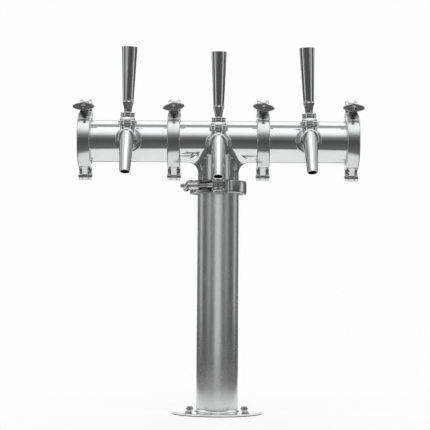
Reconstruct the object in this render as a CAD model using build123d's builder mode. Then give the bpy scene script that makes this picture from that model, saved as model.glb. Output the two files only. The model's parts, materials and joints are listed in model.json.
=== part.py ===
"""Three-faucet tee-shaped beer tap tower on a three-inch column, in millimetres.

Frame: +Z up, origin at the centre of the base's underside, faucets pointing towards -Y.
Straight tube sections and a tee are held together by five hinged sanitary clamps, each with a
swing bolt and an oval wing nut. Each faucet is a forward-sealing valve worked by a ball lever.
"""

from build123d import *
import os
from math import cos, radians, sin, tan

# ---------------------------------------------------------------- driving dimensions
# Tubes, ferrules and gaskets of the three-inch sanitary clamp system
tube_r = 38.1
tube_wall = 1.65
tube_bore_r = tube_r - tube_wall
ferrule_r = 45.5
ferrule_rim = 2.8
ferrule_slope = tan(radians(20))
ferrule_foot_r = 40.0
gasket_thick = 2.0
section_pitch = 163.0
section_half = (section_pitch - gasket_thick) / 2
branch_r = 37.6

# Heights
base_gasket_thick = 1.5
plate_thick = 3.2
plate_top = base_gasket_thick + plate_thick
arm_axis_z = 500.0
column_joint_z = 415.0
column_top_z = column_joint_z - gasket_thick / 2
branch_face_z = column_joint_z + gasket_thick / 2

# Base
plate_r = 84.0
base_hole_r = 35.0
screw_circle_r = 72.5
screw_r = 3.0
screw_shank_r = 2.85
screw_hole_r = 3.4
screw_head_r = 5.8
screw_head_height = 3.6
screw_below = 30.0
washer_r = 7.4
washer_thick = 0.9

# Clamp, drawn round the X axis with its ears up and its wing nut towards -Y
band_r = 53.0
band_half_width = 11.5
lip_r = 41.6
groove_r = ferrule_r + 0.3
groove_half = gasket_thick / 2 + ferrule_rim + 0.15
lip_half = groove_half + (groove_r - lip_r) * ferrule_slope
parting_gap = 1.0
hinge_z = -64.5
knuckle_r = 7.5
knuckle_clear_r = 8.0
middle_knuckle_half = 5.3
pin_r = 3.0
pin_hole_r = 3.04
bolt_pin_y = 14.0
bolt_pin_z = 67.5
lug_r = 12.0
ear_half_width = 8.0
bolt_tilt = 9.5
bolt_r = 4.0
bolt_length = 72.0
eye_r = 8.2
eye_half_width = 5.0
nut_start = 36.0
nut_end = 60.5
nut_hub_r = 7.0
nut_hole_r = 4.06
wing_half_length = 19.8
wing_half_height = 7.2
wing_start = 55.0
column_clamp_turn = 12.0
nut_turns = {"left_end": 0, "left_inner": 7, "right_inner": -7, "right_end": 0, "column": 60}

# Faucets, drawn with the shank along Y through the origin and the spout towards -Y
faucet_x = {"left": -section_pitch, "center": 0.0, "right": section_pitch}
faucet_drop = {"left": 2.0, "center": 10.0, "right": 2.0}
faucet_roll = {"left": 1.5, "center": 0.0, "right": -2.5}
handle_twist = {"left": 7.5, "center": 1.0, "right": -4.0}
shank_r = 11.0
shank_bore_r = 4.0
shank_hole_r = 11.2
flange_r = 24.5
flange_front = 45.0
coupling_r = 17.5
coupling_front = 60.5
lever_f = 77.0
pivot_z = 28.0
ball_r = 9.0
lever_arm = 20.0
lever_lean = 4.0
barrel_r = 14.0
chamber_r = 11.0
seat_f = 94.0
poppet_r = 9.2
spout_tilt = 18.0
spout_length = 68.0
dome_r = 14.5
collar_hollow_r = 15.2
collar_end = 16.4
handle_length = 116.0
stud_reach = 16.0

# Lines and foam inside the column
line_r = 4.75
line_bore_r = 3.0
line_bend_r = 8.0
line_y = 20.0
line_x = {"left": -19.0, "center": 0.0, "right": 19.0}
line_start_y = 6.0
line_end_z = 12.0
shank_back_y = 4.0
coolant_x = 13.0
coolant_y = -15.0
coolant_bend_z = 440.0
foam_r = tube_bore_r - 0.3
foam_low = 20.0
foam_high = 396.0
line_clearance = 0.3


def point_on_bolt(along, up):
    """A point (y, z) of the clamp, along the tilted swing bolt from its pin and up across it."""
    c = cos(radians(bolt_tilt))
    s = sin(radians(bolt_tilt))
    return (bolt_pin_y - along * c - up * s, bolt_pin_z - along * s + up * c)


def bolt_plane(along=0.0):
    """The plane across the swing bolt, its normal pointing to the nut and its x along the tube."""
    y, z = point_on_bolt(along, 0)
    s = sin(radians(bolt_tilt))
    c = cos(radians(bolt_tilt))
    return Plane(origin=(0, y, z), x_dir=(1, 0, 0), z_dir=(0, -c, -s))


def lever_plane(along=0.0):
    """The plane across a faucet's lever at rest, its normal pointing up the handle."""
    s = sin(radians(lever_lean))
    c = cos(radians(lever_lean))
    origin = (0, -lever_f - along * s, pivot_z + along * c)
    return Plane(origin=origin, x_dir=(1, 0, 0), z_dir=(0, -s, c))


def spout_plane(along=0.0):
    """The plane across a faucet's spout, its normal pointing to the tip."""
    s = sin(radians(spout_tilt))
    c = cos(radians(spout_tilt))
    origin = (0, -(lever_f + 13.0) - along * s, 0.5 - along * c)
    return Plane(origin=origin, x_dir=(1, 0, 0), z_dir=(0, -s, -c))


def forward(f, z=0.0):
    """A point on a faucet's middle plane, f in front of the tube's axis and z above the shank's."""
    return (0, -f, z)


# ---------------------------------------------------------------- tubes and base
def ferrule_profile(face, inward, outer_r=tube_r):
    """Half section of a clamp ferrule as (along, radius) points: its flat face and its sloping back."""
    rim = face + inward * ferrule_rim
    foot = rim + inward * (ferrule_r - ferrule_foot_r) * ferrule_slope
    weld = foot + inward * 3.0
    return [
        (face, tube_bore_r),
        (face, ferrule_r),
        (rim, ferrule_r),
        (foot, ferrule_foot_r),
        (weld, outer_r),
        (weld, tube_bore_r),
    ]


def make_arm(drop):
    """A tube along X with a ferrule at each end and the shank's hole through its front wall."""
    with BuildPart() as arm:
        with BuildSketch(Plane.XZ):
            for face, inward in ((-section_half, 1), (section_half, -1)):
                with BuildLine():
                    Polyline(ferrule_profile(face, inward), close=True)
                make_face()
            with Locations((0, tube_r - tube_wall / 2)):
                Rectangle(2 * section_half, tube_wall)
        revolve(axis=Axis.X)
        with BuildSketch(Plane.XZ.offset(tube_bore_r / 2)):
            with Locations((0, -drop)):
                Circle(shank_hole_r)
        extrude(amount=tube_r, mode=Mode.SUBTRACT)
    return arm.part


def tee_core(grow):
    """The tee's solid run and branch, grown by a little, with their crotch rounded."""
    crotch_r = 9.0
    branch_low = branch_face_z - arm_axis_z
    with BuildPart() as core:
        Cylinder(tube_r + grow, 2 * section_half, rotation=(0, 90, 0))
        with BuildSketch(Plane.XY.offset(branch_low)):
            Circle(branch_r + grow)
        extrude(amount=-branch_low)
        crotch = core.edges().filter_by(lambda e: e.geom_type not in (GeomType.CIRCLE, GeomType.LINE))
        fillet(crotch, crotch_r)
    return core.part


def make_tee(drop):
    """Run and branch are bored after they are joined, so that the inside is one space."""
    branch_low = branch_face_z - arm_axis_z
    with BuildPart() as tee:
        add(tee_core(0.0))
        with BuildSketch(Plane.XZ):
            for face, inward in ((-section_half, 1), (section_half, -1)):
                with BuildLine():
                    Polyline(ferrule_profile(face, inward), close=True)
                make_face()
        revolve(axis=Axis.X)
        with BuildSketch(Plane.XZ):
            with BuildLine():
                outline = ferrule_profile(branch_low, 1, branch_r)
                Polyline([(radius, along) for along, radius in outline], close=True)
            make_face()
        revolve(axis=Axis.Z)
        Cylinder(tube_bore_r, 2 * section_half, rotation=(0, 90, 0), mode=Mode.SUBTRACT)
        with BuildSketch(Plane.XY.offset(branch_low)):
            Circle(tube_bore_r)
        extrude(amount=-branch_low, mode=Mode.SUBTRACT)
        with BuildSketch(Plane.XZ.offset(tube_bore_r / 2)):
            with Locations((0, -drop)):
                Circle(shank_hole_r)
        extrude(amount=tube_r, mode=Mode.SUBTRACT)
    return tee.part


def make_column():
    """The upright tube, open at the plate and closed by a ferrule at the tee."""
    with BuildPart() as column:
        with BuildSketch(Plane.XZ):
            with BuildLine():
                outline = ferrule_profile(column_top_z, -1)
                Polyline([(radius, along) for along, radius in outline], close=True)
            make_face()
            with Locations((tube_r - tube_wall / 2, (plate_top + column_top_z) / 2)):
                Rectangle(tube_wall, column_top_z - plate_top)
        revolve(axis=Axis.Z)
    return column.part


def make_base_plate():
    """Round plate with four screw holes, a hole for the lines and the weld that runs round the column."""
    weld = 3.0
    with BuildPart() as plate:
        with BuildSketch(Plane.XY.offset(base_gasket_thick)):
            Circle(plate_r)
            Circle(base_hole_r, mode=Mode.SUBTRACT)
            with PolarLocations(screw_circle_r, 4, start_angle=45):
                Circle(screw_hole_r, mode=Mode.SUBTRACT)
        extrude(amount=plate_thick)
        top_edges = plate.edges().filter_by(GeomType.CIRCLE).group_by(Axis.Z)[-1]
        fillet(top_edges.sort_by(SortBy.RADIUS)[-1], 1.0)
        with BuildSketch(Plane.XZ):
            with BuildLine():
                inner = tube_r + 0.02
                Line((inner, plate_top), (inner + weld, plate_top))
                RadiusArc((inner + weld, plate_top), (inner, plate_top + weld), weld * 1.2)
                Line((inner, plate_top + weld), (inner, plate_top))
            make_face()
        revolve(axis=Axis.Z)
    return plate.part


def make_base_gasket():
    with BuildPart() as gasket:
        with BuildSketch():
            Circle(plate_r - 1.5)
            Circle(base_hole_r + 1.0, mode=Mode.SUBTRACT)
            with PolarLocations(screw_circle_r, 4, start_angle=45):
                Circle(screw_hole_r, mode=Mode.SUBTRACT)
        extrude(amount=base_gasket_thick)
    return gasket.part


def make_base_screw():
    """A pan-head machine screw with a hexagon socket, standing in a plate hole and out below the base."""
    seat = plate_top + washer_thick
    with BuildPart() as screw:
        with BuildSketch(Plane.XY.offset(seat)):
            Circle(screw_head_r)
        extrude(amount=screw_head_height)
        fillet(screw.edges().sort_by(Axis.Z)[-1], 1.8)
        with BuildSketch(Plane.XY.offset(seat + screw_head_height)):
            RegularPolygon(2.3, 6)
        extrude(amount=-2.2, mode=Mode.SUBTRACT)
        with BuildSketch(Plane.XY.offset(seat)):
            Circle(screw_shank_r)
        extrude(amount=-seat)
        with BuildSketch():
            Circle(screw_r)
        extrude(amount=-screw_below)
        chamfer(screw.edges().sort_by(Axis.Z)[0], 0.6)
    return screw.part


def make_base_washer():
    with BuildPart() as washer:
        with BuildSketch(Plane.XY.offset(plate_top)):
            Circle(washer_r)
            Circle(screw_hole_r, mode=Mode.SUBTRACT)
        extrude(amount=washer_thick)
    return washer.part


def make_joint_gasket():
    """The flat seal between two ferrules, drawn round the X axis at its middle."""
    with BuildPart() as gasket:
        with BuildSketch(Plane.YZ.offset(-gasket_thick / 2)):
            Circle(ferrule_r - 0.7)
            Circle(tube_bore_r, mode=Mode.SUBTRACT)
        extrude(amount=gasket_thick)
    return gasket.part


def make_end_cap():
    """A blank ferrule: a flat disc with the same sloping back, drawn round X with its sealing face at 0."""
    boss = 5.0
    with BuildPart() as cap:
        with BuildSketch(Plane.XZ):
            with BuildLine():
                foot = ferrule_rim + (ferrule_r - ferrule_foot_r) * ferrule_slope
                Polyline(
                    (0, 0),
                    (0, ferrule_r),
                    (ferrule_rim, ferrule_r),
                    (foot, ferrule_foot_r),
                    (foot + boss, ferrule_foot_r - 1.0),
                    (foot + boss, 0),
                    close=True,
                )
            make_face()
        revolve(axis=Axis.X)
        fillet(cap.edges().sort_by(Axis.X)[-1], 2.0)
    return cap.part


# ---------------------------------------------------------------- clamps
def clamp_band(keep_front):
    """Half of the band, before its channel is cut."""
    with BuildPart() as band:
        with BuildSketch(Plane.XZ):
            with Locations((0, (lip_r + band_r) / 2)):
                Rectangle(2 * band_half_width, band_r - lip_r)
            fillet(vertices(), 1.6)
        revolve(axis=Axis.X)
        if keep_front:
            split(bisect_by=Plane.XZ.offset(parting_gap), keep=Keep.TOP)
        else:
            split(bisect_by=Plane.XZ.offset(-parting_gap), keep=Keep.BOTTOM)
    return band.part


def cut_channel():
    """The space for both ferrules and the tubes, taken from inside a finished half."""
    with BuildPart() as space:
        with BuildSketch(Plane.XZ):
            with BuildLine():
                Polyline(
                    (-lip_half, lip_r),
                    (-groove_half, groove_r),
                    (groove_half, groove_r),
                    (lip_half, lip_r),
                    (band_half_width + 3, lip_r),
                    (band_half_width + 3, 0),
                    (-band_half_width - 3, 0),
                    (-band_half_width - 3, lip_r),
                    close=True,
                )
            make_face()
        revolve(axis=Axis.X)
    return space.part


def hinge_web(side):
    """Outline, on the YZ plane, that joins a knuckle to the band on the given side of the hinge."""
    return [
        (side * knuckle_r * 0.98, hinge_z),
        (side * 17.0, -48.5),
        (side * parting_gap, -48.5),
        (side * parting_gap, hinge_z + knuckle_r),
        (0, hinge_z + knuckle_r * 0.9),
        (0, hinge_z),
    ]


def make_front_half():
    """The half that swings: forked ear for the bolt above, middle knuckle below."""
    bevel_line = nut_start - nut_hole_r - 0.7
    bevel_top = 0.5
    hub_floor = -nut_hub_r - 0.6
    slot_floor = -bolt_r - 0.6
    ledge_end = point_on_bolt(47.4, hub_floor)
    ear_foot = (-37.3, 38.2)
    with BuildPart() as half:
        add(clamp_band(keep_front=True))
        with BuildSketch(Plane.YZ):
            with BuildLine():
                ThreePointArc(ledge_end, (-33.0, 44.6), ear_foot)
                Polyline(
                    ear_foot,
                    (-30.0, 36.0),
                    (-5.5, 47.5),
                    point_on_bolt(19.6, bevel_top),
                    point_on_bolt(bevel_line - bevel_top, bevel_top),
                    point_on_bolt(bevel_line - hub_floor, hub_floor),
                    ledge_end,
                )
            make_face()
        extrude(amount=ear_half_width, both=True)
        with BuildSketch(Plane.YZ):
            with BuildLine():
                Polyline(hinge_web(-1), close=True)
            make_face()
            with Locations((0, hinge_z)):
                Circle(knuckle_r)
        extrude(amount=middle_knuckle_half, both=True)
        with BuildSketch(Plane.YZ):
            with BuildLine():
                corners = [point_on_bolt(15, slot_floor), point_on_bolt(50, slot_floor)]
                corners += [point_on_bolt(50, 12), point_on_bolt(15, 12)]
                Polyline(corners, close=True)
            make_face()
        extrude(amount=bolt_r + 0.35, both=True, mode=Mode.SUBTRACT)
        add(cut_channel(), mode=Mode.SUBTRACT)
        with BuildSketch(Plane.YZ):
            with Locations((0, hinge_z)):
                Circle(pin_hole_r)
        extrude(amount=middle_knuckle_half + 1, both=True, mode=Mode.SUBTRACT)
    return half.part


def make_rear_half():
    """The half that stays: two prongs for the bolt's eye above, two outer knuckles below."""
    outer = band_half_width
    with BuildPart() as half:
        add(clamp_band(keep_front=False))
        with BuildSketch(Plane.YZ):
            with BuildLine():
                Polyline(
                    (5.5, 47.0),
                    (5.5, 61.5),
                    (bolt_pin_y - lug_r, bolt_pin_z),
                    (bolt_pin_y + lug_r, bolt_pin_z),
                    (28.6, 44.0),
                    close=True,
                )
            make_face()
            with Locations((bolt_pin_y, bolt_pin_z)):
                Circle(lug_r)
        extrude(amount=outer, both=True)
        with BuildSketch(Plane.YZ.offset(middle_knuckle_half + 0.3)):
            with BuildLine():
                Polyline(hinge_web(1), close=True)
            make_face()
            with Locations((0, hinge_z)):
                Circle(knuckle_r)
        knuckles = extrude(amount=outer - middle_knuckle_half - 0.3)
        mirror(knuckles, about=Plane.YZ)
        slot_floor = bolt_pin_z - eye_r - 0.8
        with Locations((0, bolt_pin_y + 4, slot_floor)):
            Box(2 * eye_half_width + 0.6, 50, 40, align=(Align.CENTER, Align.CENTER, Align.MIN), mode=Mode.SUBTRACT)
        add(cut_channel(), mode=Mode.SUBTRACT)
        with BuildSketch(Plane.YZ.offset(-20)):
            with Locations((0, hinge_z), (bolt_pin_y, bolt_pin_z)):
                Circle(pin_hole_r)
        extrude(amount=40, mode=Mode.SUBTRACT)
    return half.part


def make_clamp_pin(y, z, half_length):
    with BuildPart() as pin:
        with BuildSketch(Plane.YZ.offset(-half_length)):
            with Locations((y, z)):
                Circle(pin_r)
        extrude(amount=2 * half_length)
        chamfer(pin.edges(), 0.4)
    return pin.part


def make_swing_bolt():
    """An eye on the rear pin and a long shank whose outer part is threaded."""
    with BuildPart() as bolt:
        with BuildSketch(Plane.YZ):
            with Locations((bolt_pin_y, bolt_pin_z)):
                Circle(eye_r)
        extrude(amount=eye_half_width, both=True)
        chamfer(bolt.edges(), 0.8)
        with BuildSketch(bolt_plane()):
            Circle(bolt_r)
        extrude(amount=bolt_length)
        tip = bolt.edges().filter_by(GeomType.CIRCLE).sort_by(Axis.Y)[0]
        chamfer(tip, 0.8)
        with BuildSketch(Plane.YZ.offset(-20)):
            with Locations((bolt_pin_y, bolt_pin_z)):
                Circle(pin_hole_r)
        extrude(amount=40, mode=Mode.SUBTRACT)
    return bolt.part


def make_wing_nut(turn):
    """Cone-nosed hub with an oval wing across it, turned about the bolt by an angle in degrees."""
    nose_r = nut_hole_r + 0.55
    with BuildPart() as nut:
        with BuildSketch(bolt_plane(nut_start)) as nose:
            Circle(nose_r)
        extrude(amount=nut_hub_r - nose_r, taper=-45)
        with BuildSketch(bolt_plane(nut_start + nut_hub_r - nose_r)):
            Circle(nut_hub_r)
        extrude(amount=nut_end - nut_start - nut_hub_r + nose_r)
        with BuildSketch(bolt_plane(wing_start)):
            Ellipse(wing_half_length, wing_half_height, rotation=turn)
        extrude(amount=nut_end - wing_start)
        face_edges = nut.faces().filter_by(bolt_plane()).group_by(Axis.Y)[0].edges()
        fillet(face_edges, 0.9)
        with BuildSketch(bolt_plane(nut_start - 1)):
            Circle(nut_hole_r)
        extrude(amount=nut_end - nut_start + 2, mode=Mode.SUBTRACT)
    return nut.part


# ---------------------------------------------------------------- faucets
def revolved_along_shank(points):
    """A solid of revolution round the shank's axis from (f, radius) points."""
    with BuildPart() as turned:
        with BuildSketch(Plane.YZ):
            with BuildLine():
                Polyline([(-f, radius) for f, radius in points], close=True)
            make_face()
        revolve(axis=Axis.Y)
    return turned.part


def make_shank_flange(drop, on_tee):
    """Round flange whose back is cut to the curve of the tube or of the tee."""
    rim = 2.2
    back = 24.0
    with BuildPart() as flange:
        with BuildSketch(Plane.XZ.offset(back)):
            Circle(flange_r)
            Circle(shank_hole_r, mode=Mode.SUBTRACT)
        extrude(amount=flange_front - back)
        front_edges = flange.edges().filter_by(GeomType.CIRCLE).group_by(Axis.Y)[0]
        fillet(front_edges.sort_by(SortBy.RADIUS)[-1], rim)
        with BuildSketch(Plane.XZ.offset(flange_front)):
            Circle(flange_r - 3.4)
            Circle(coupling_r + 0.9, mode=Mode.SUBTRACT)
        extrude(amount=-1.4, mode=Mode.SUBTRACT)
        with Locations((0, 0, drop)):
            if on_tee:
                add(tee_core(0.03), mode=Mode.SUBTRACT)
            else:
                Cylinder(tube_r + 0.03, 2 * section_half, rotation=(0, 90, 0), mode=Mode.SUBTRACT)
    return flange.part


def make_shank():
    """Bored and threaded spigot that passes the wall, with a lip in front for the coupling nut to face."""
    back = -shank_back_y
    lip_back = flange_front + 0.02
    outline = [
        (back, shank_bore_r),
        (back, shank_r),
        (lip_back, shank_r),
        (lip_back, 13.6),
        (48.4, 13.6),
        (48.4, shank_bore_r),
    ]
    return revolved_along_shank(outline)


def make_shank_nut():
    """Hexagon nut that pulls the shank tight from inside the tube, with a curved washer face."""
    thick = 8.0
    inside = 26.0
    with BuildPart() as nut:
        with BuildSketch(Plane.XZ.offset(inside - thick)):
            RegularPolygon(16.0, 6)
            Circle(shank_r + 0.03, mode=Mode.SUBTRACT)
        extrude(amount=thick)
    return nut.part


def make_coupling_nut():
    """Round nut with wrench holes that draws the faucet onto the shank."""
    back = flange_front + 0.6
    with BuildPart() as nut:
        with BuildSketch(Plane.XZ.offset(back)):
            Circle(coupling_r)
        extrude(amount=coupling_front - back)
        rims = nut.edges()
        fillet(rims, 1.4)
        with BuildSketch(Plane.XZ.offset(back - 1)):
            Circle(15.0)
        extrude(amount=54.0 - back, mode=Mode.SUBTRACT)
        with BuildSketch(Plane.XZ.offset(52)):
            Circle(12.3)
        extrude(amount=12, mode=Mode.SUBTRACT)
        with BuildSketch(Plane.XY):
            with Locations((0, -53.8)):
                Circle(2.4)
        hole = extrude(amount=30, mode=Mode.PRIVATE)
        for turn in range(5):
            add(hole.rotate(Axis.Y, 72 * turn + 36), mode=Mode.SUBTRACT)
    return nut.part


def make_body():
    """Cast body: collar, neck and barrel, lever boss on top, flat nose and tilted spout in front."""
    nose_f = 100.5
    outside = [
        (48.5, 0),
        (48.5, 14.6),
        (52.6, 14.6),
        (52.6, 12.0),
        (61.0, 12.0),
        (64.5, barrel_r),
        (nose_f - 2.4, barrel_r),
        (nose_f - 0.7, barrel_r - 0.7),
        (nose_f, barrel_r - 2.4),
        (nose_f, 0),
    ]
    inside = [
        (48.0, 0),
        (48.0, 9.6),
        (58.0, 9.6),
        (59.5, chamber_r),
        (seat_f - 4.0, chamber_r),
        (seat_f - 4.0, 7.0),
        (seat_f + 1.0, 7.0),
        (seat_f + 1.0, 0),
    ]
    with BuildPart() as body:
        add(revolved_along_shank(outside))
        with BuildSketch(spout_plane(-5.0)):
            Circle(13.2)
        with BuildSketch(spout_plane(27.0)):
            Circle(12.4)
        with BuildSketch(spout_plane(spout_length)):
            Circle(9.7)
        loft(ruled=True)
        with BuildSketch(Plane.XY.offset(4)):
            with Locations((0, -lever_f)):
                Circle(13.6)
        extrude(amount=pivot_z - 8.0 - 4)
        with BuildSketch(Plane.XY.offset(10)):
            with Locations((0, -lever_f)):
                Circle(12.4)
        extrude(amount=pivot_z + 1.0 - 10)
        tip = body.edges().filter_by(GeomType.CIRCLE).sort_by(Axis.Z)[0]
        fillet(tip, 0.7)
        add(revolved_along_shank(inside), mode=Mode.SUBTRACT)
        with BuildSketch(spout_plane(4.0)):
            Circle(8.6)
        with BuildSketch(spout_plane(spout_length + 1)):
            Circle(8.0)
        loft(mode=Mode.SUBTRACT)
        add(socket_space(), mode=Mode.SUBTRACT)
        with BuildSketch(Plane.XY.offset(8.0)):
            with Locations((0, -lever_f)):
                Rectangle(6.6, 12.0, align=(Align.CENTER, Align.MIN))
        extrude(amount=7.5, mode=Mode.SUBTRACT)
    return body.part


def socket_space():
    """The round hollow that the lever's ball and its lower stem move in."""
    with BuildPart() as space:
        with BuildSketch(Plane.YZ):
            with BuildLine():
                Polyline(
                    (0, pivot_z + 2),
                    (9.3, pivot_z + 2),
                    (9.3, pivot_z - 6.6),
                    (7.3, pivot_z - 6.6),
                    (9.4, pivot_z - 10.0),
                    (9.4, 7.0),
                    (0, 7.0),
                    close=True,
                )
            make_face()
        revolve(axis=Axis.Z)
    with BuildPart() as placed:
        with Locations((0, -lever_f, 0)):
            add(space.part)
    return placed.part


def make_ball_seal():
    """Flat ring under the lever's ball."""
    with BuildPart() as seal:
        with BuildSketch(Plane.XY.offset(pivot_z - 6.6)):
            with Locations((0, -lever_f)):
                Circle(9.2)
                Circle(7.4, mode=Mode.SUBTRACT)
        extrude(amount=1.4)
    return seal.part


def make_bonnet():
    """Cap nut over the ball: grooved skirt round the boss and a dome with a cone-shaped opening."""
    skirt_r = 16.8
    groove_depth = 0.7
    dome_low = on_sphere(dome_r, 85.0)
    dome_high = on_sphere(dome_r, 47.5)
    with BuildPart() as bonnet:
        with BuildSketch(Plane.YZ):
            with BuildLine():
                ThreePointArc(dome_low, on_sphere(dome_r, 66.0), dome_high)
                Polyline(
                    dome_high,
                    (8.35, 3.7),
                    (9.4, 2.4),
                    (9.4, 1.3),
                    (12.5, 1.3),
                    (12.5, -7.4),
                    (skirt_r - 0.6, -7.4),
                    (skirt_r, -6.8),
                    (skirt_r, -3.2),
                    (skirt_r - groove_depth, -2.7),
                    (skirt_r - groove_depth, -1.9),
                    (skirt_r, -1.4),
                    (skirt_r, 0.4),
                    (skirt_r - 0.8, dome_low[1]),
                    dome_low,
                )
            make_face()
        revolve(axis=Axis.Z)
    with BuildPart() as placed:
        with Locations((0, -lever_f, pivot_z)):
            add(bonnet.part)
    return placed.part


def on_sphere(radius, angle):
    """A point (radius, height) on a sphere round the pivot, at an angle in degrees from its top."""
    return (radius * sin(radians(angle)), radius * cos(radians(angle)))


def make_lever():
    """Ball lever: thin neck and threaded stud above the ball, tapered stem with a small round tip below."""
    neck_r = 4.9
    neck_length = 12.0
    tip_r = 2.8
    with BuildPart() as lever:
        with Locations(forward(lever_f, pivot_z)):
            Sphere(ball_r)
        with BuildSketch(lever_plane()):
            Circle(neck_r)
        extrude(amount=neck_length)
        with BuildSketch(lever_plane(neck_length)):
            Circle(4.7)
        extrude(amount=collar_end - neck_length + stud_reach)
        with BuildSketch(lever_plane()):
            Circle(1.9)
        extrude(amount=-lever_arm)
        with Locations(lever_plane(-lever_arm).location):
            Sphere(tip_r)
    return lever.part


def make_lever_collar():
    """Round jam nut under the handle, grooved round its middle and hollowed below to clear the dome."""
    radius = 12.8
    bore_r = 4.95
    groove_depth = 0.7
    groove_low = 12.0
    groove_high = 13.0
    hollow_top = (bore_r, (collar_hollow_r**2 - bore_r**2) ** 0.5)
    lip = on_sphere(collar_hollow_r, 55.0)
    with BuildPart() as collar:
        with BuildSketch(Plane.XZ):
            with BuildLine():
                ThreePointArc(hollow_top, on_sphere(collar_hollow_r, 38.0), lip)
                Polyline(
                    lip,
                    (radius, lip[1] + 0.4),
                    (radius, groove_low),
                    (radius - groove_depth, groove_low),
                    (radius - groove_depth, groove_high),
                    (radius, groove_high),
                    (radius, collar_end - 0.9),
                    (radius - 0.9, collar_end),
                    (bore_r, collar_end),
                    hollow_top,
                )
            make_face()
        revolve(axis=Axis.Z)
    with BuildPart() as placed:
        with Locations(lever_plane().location):
            add(collar.part)
    return placed.part


def flute_cutter():
    """Round-ended bar, leaning outwards like the handle's flare, that cuts one of its flutes."""
    flute_r = 12.0
    low = Vector(21.0, 0, 23.0)
    high = Vector(24.6, 0, handle_length + 2.0)
    with BuildPart() as cutter:
        with BuildSketch(Plane(origin=low, z_dir=high - low)):
            Circle(flute_r)
        extrude(amount=(high - low).length)
        with Locations(low):
            Sphere(flute_r)
    return cutter.part


def make_handle(twist):
    """Flared round handle with eight long flutes that end above a plain neck over the stud."""
    flutes = 8
    outline = [
        (4.95, 0),
        (6.9, 0),
        (7.2, 6.0),
        (8.6, 12.5),
        (10.3, 18.0),
        (14.7, handle_length - 1.6),
        (13.2, handle_length),
        (0, handle_length),
        (0, stud_reach + 1.0),
        (4.95, stud_reach + 1.0),
    ]
    with BuildPart() as flare:
        with BuildSketch(Plane.XZ):
            with BuildLine():
                Polyline(outline, close=True)
            make_face()
        revolve(axis=Axis.Z)
        with PolarLocations(0, flutes):
            add(flute_cutter(), mode=Mode.SUBTRACT)
    with BuildPart() as handle:
        with Locations(lever_plane(collar_end).location):
            add(flare.part, rotation=(0, 0, twist))
    return handle.part


def make_valve_shaft():
    """Sliding shaft: poppet in front, spool that the lever's tip works, and a guide behind."""
    rod_r = 4.0
    spool_r = 10.4
    groove_f = lever_f - lever_arm * sin(radians(lever_lean))
    groove_half_width = 3.25
    rim = 2.0
    poppet_back = seat_f - 7.6
    with BuildPart() as shaft:
        add(
            revolved_along_shank(
                [
                    (60.5, 0),
                    (60.5, 6.0),
                    (62.5, 6.0),
                    (62.5, rod_r),
                    (groove_f - groove_half_width - rim, rod_r),
                    (groove_f - groove_half_width - rim, spool_r),
                    (groove_f - groove_half_width, spool_r),
                    (groove_f - groove_half_width, rod_r),
                    (groove_f + groove_half_width, rod_r),
                    (groove_f + groove_half_width, spool_r),
                    (groove_f + groove_half_width + rim, spool_r),
                    (groove_f + groove_half_width + rim, rod_r),
                    (poppet_back, rod_r),
                    (poppet_back, poppet_r),
                    (seat_f - 5.6, poppet_r),
                    (seat_f - 4.2, poppet_r - 1.4),
                    (seat_f - 4.2, 0),
                ]
            )
        )
        with BuildSketch(Plane.XZ.offset(groove_f - 8)):
            with PolarLocations(7.4, 4, start_angle=0):
                Circle(1.9)
        extrude(amount=16, mode=Mode.SUBTRACT)
    return shaft.part


def make_seat_seal():
    """Square-section ring that the poppet closes on."""
    back = seat_f - 5.3
    front = seat_f - 4.05
    gap = 0.1
    back_r = poppet_r - (back - seat_f + 5.6) + gap
    front_r = poppet_r - (front - seat_f + 5.6) + gap
    return revolved_along_shank([(back, back_r), (back, 10.9), (front, 10.9), (front, front_r)])


def make_tailpiece():
    """Nipple in the shank's bore with a collar, a barb for the line and its own bore."""
    collar = (shank_back_y + 0.1, shank_back_y + 1.8)
    inlet = shank_back_y - 8.0
    outlet = line_start_y + 5.5
    outline = [
        (-inlet, 2.0),
        (-inlet, shank_bore_r - 0.03),
        (-collar[0], shank_bore_r - 0.03),
        (-collar[0], 5.6),
        (-collar[1], 5.6),
        (-collar[1], line_bore_r - 0.05),
        (-outlet, line_bore_r - 0.05),
        (-outlet, 2.0),
    ]
    return revolved_along_shank(outline)


# ---------------------------------------------------------------- lines and foam
def make_beer_line(side):
    """Hose from a shank's back end, along the arm and down the column."""
    z = arm_axis_z - faucet_drop[side]
    corners = [(faucet_x[side], line_start_y, z), (faucet_x[side], line_y, z)]
    if side != "center":
        corners.append((line_x[side], line_y, z))
    corners.append((line_x[side], line_y, line_end_z))
    with BuildPart() as line:
        with BuildLine():
            FilletPolyline(corners, radius=line_bend_r)
        with BuildSketch(Plane(origin=corners[0], x_dir=(1, 0, 0), z_dir=(0, 1, 0))):
            Circle(line_r)
            Circle(line_bore_r, mode=Mode.SUBTRACT)
        sweep()
    return line.part


def make_coolant_line():
    """Hose up the column and back down in one loop."""
    with BuildPart() as line:
        with BuildLine(Plane.XZ.offset(-coolant_y)):
            Line((-coolant_x, line_end_z), (-coolant_x, coolant_bend_z))
            CenterArc((0, coolant_bend_z), coolant_x, 180, -180)
            Line((coolant_x, coolant_bend_z), (coolant_x, line_end_z))
        with BuildSketch(Plane.XY.offset(line_end_z)):
            with Locations((-coolant_x, coolant_y)):
                Circle(line_r)
                Circle(line_bore_r, mode=Mode.SUBTRACT)
        sweep()
    return line.part


def make_foam():
    """Foam fill of the column with a channel for each line."""
    with BuildPart() as foam:
        with BuildSketch(Plane.XY.offset(foam_low)):
            Circle(foam_r)
            channels = [(x, line_y) for x in line_x.values()]
            channels += [(-coolant_x, coolant_y), (coolant_x, coolant_y)]
            with Locations(*channels):
                Circle(line_r + line_clearance, mode=Mode.SUBTRACT)
        extrude(amount=foam_high - foam_low)
    return foam.part


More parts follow.
